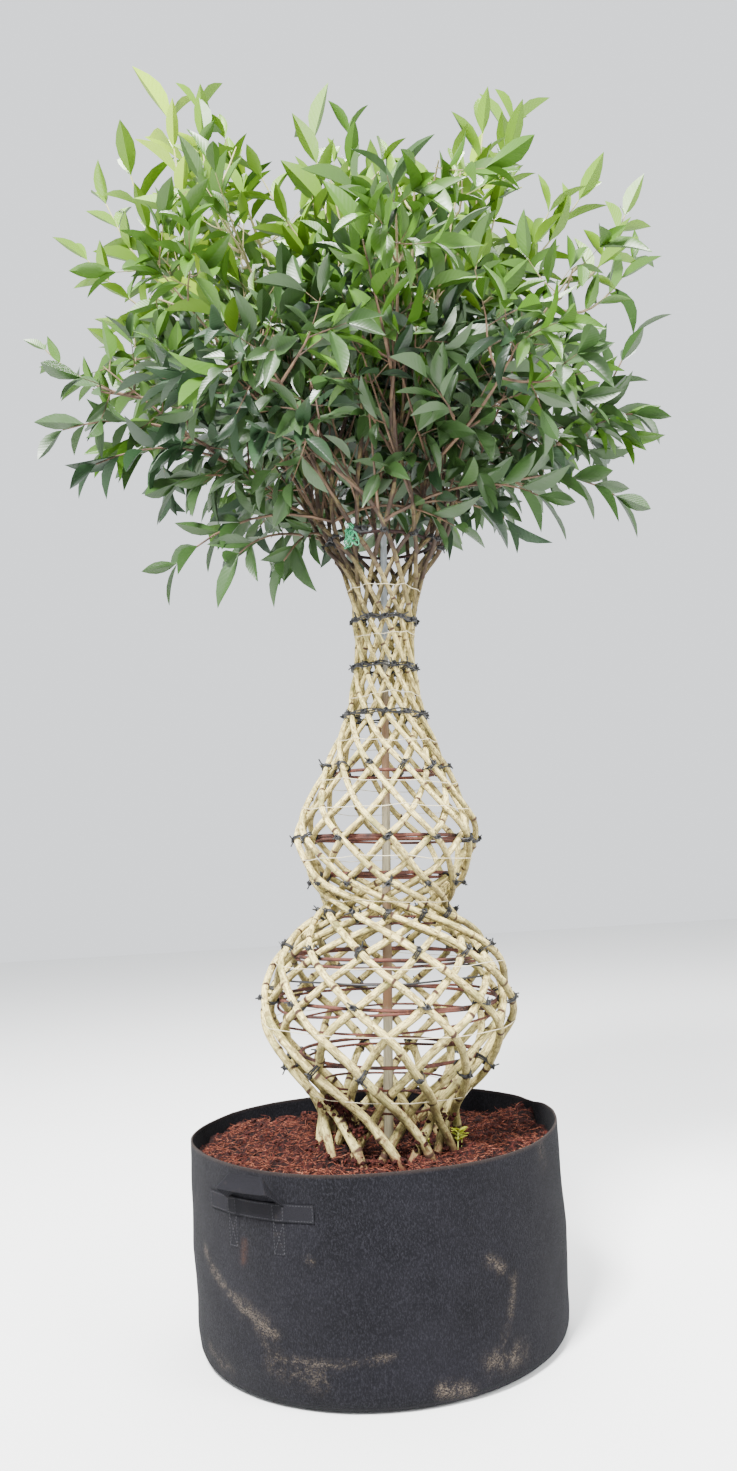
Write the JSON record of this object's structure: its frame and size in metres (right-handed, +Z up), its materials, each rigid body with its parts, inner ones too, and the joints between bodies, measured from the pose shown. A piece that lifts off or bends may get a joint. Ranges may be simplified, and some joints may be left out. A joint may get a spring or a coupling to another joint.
{
  "type": "potted osmanthus with woven gourd trunk",
  "caption": "Osmanthus in a black felt grow bag, its stems woven as an open gourd-shaped lattice on iron hoops, under a rounded leafy crown.",
  "frame": {"origin": "middle of the bag's flat underside, on the surface it stands on", "axes": "+Z up, the trunk leaning 3 degrees towards +X; -Y is the side that the picture shows, +X its right"},
  "size_m": [1.5488, 1.5371, 3.0057],
  "materials": {
    "black_felt": "matte black non-woven felt",
    "black_webbing": "black polypropylene webbing, slightly glossy",
    "coco_peat": "loose reddish-brown coir, fully rough",
    "pale_bark": "smooth pale straw to olive bark with nodes, brown towards the crown",
    "weathered_pole": "weathered grey-brown straight pole",
    "rusty_iron": "rusted bare iron rod",
    "osmanthus_leaf": "leathery green leaf with a soft sheen"
  },
  "bodies": {
    "root": {"foliage_centre_high": "osmanthus_leaf", "foliage_centre_low": "osmanthus_leaf", "foliage_centre_middle": "osmanthus_leaf", "foliage_crest_1": "osmanthus_leaf", "foliage_crest_2": "osmanthus_leaf", "foliage_crest_3": "osmanthus_leaf", "foliage_crest_4": "osmanthus_leaf", "foliage_crest_5": "osmanthus_leaf", "foliage_crest_6": "osmanthus_leaf", "foliage_flank_1": "osmanthus_leaf", "foliage_flank_2": "osmanthus_leaf", "foliage_flank_3": "osmanthus_leaf", "foliage_shoulder_1": "osmanthus_leaf", "foliage_shoulder_2": "osmanthus_leaf", "foliage_shoulder_3": "osmanthus_leaf", "foliage_shoulder_4": "osmanthus_leaf", "foliage_shoulder_5": "osmanthus_leaf", "foliage_shoulder_6": "osmanthus_leaf", "foliage_skirt_1": "osmanthus_leaf", "foliage_skirt_2": "osmanthus_leaf", "foliage_skirt_3": "osmanthus_leaf", "foliage_skirt_4": "osmanthus_leaf", "foliage_skirt_5": "osmanthus_leaf", "foliage_skirt_6": "osmanthus_leaf", "grow_bag": "black_felt", "handle_back": "black_webbing", "handle_front": "black_webbing", "pole": "weathered_pole", "ring_lower_bulb_high": "rusty_iron", "ring_lower_bulb_low": "rusty_iron", "ring_lower_bulb_middle": "rusty_iron", "ring_top": "rusty_iron", "ring_upper_bulb_high": "rusty_iron", "ring_upper_bulb_low": "rusty_iron", "ring_upper_bulb_middle": "rusty_iron", "soil": "coco_peat", "stem_inner_01": "pale_bark", "stem_inner_02": "pale_bark", "stem_inner_03": "pale_bark", "stem_inner_04": "pale_bark", "stem_inner_05": "pale_bark", "stem_inner_06": "pale_bark", "stem_inner_07": "pale_bark", "stem_inner_08": "pale_bark", "stem_inner_09": "pale_bark", "stem_inner_10": "pale_bark", "stem_inner_11": "pale_bark", "stem_inner_12": "pale_bark", "stem_outer_01": "pale_bark", "stem_outer_02": "pale_bark", "stem_outer_03": "pale_bark", "stem_outer_04": "pale_bark", "stem_outer_05": "pale_bark", "stem_outer_06": "pale_bark", "stem_outer_07": "pale_bark", "stem_outer_08": "pale_bark", "stem_outer_09": "pale_bark", "stem_outer_10": "pale_bark", "stem_outer_11": "pale_bark", "stem_outer_12": "pale_bark"}
  },
  "joints": []
}
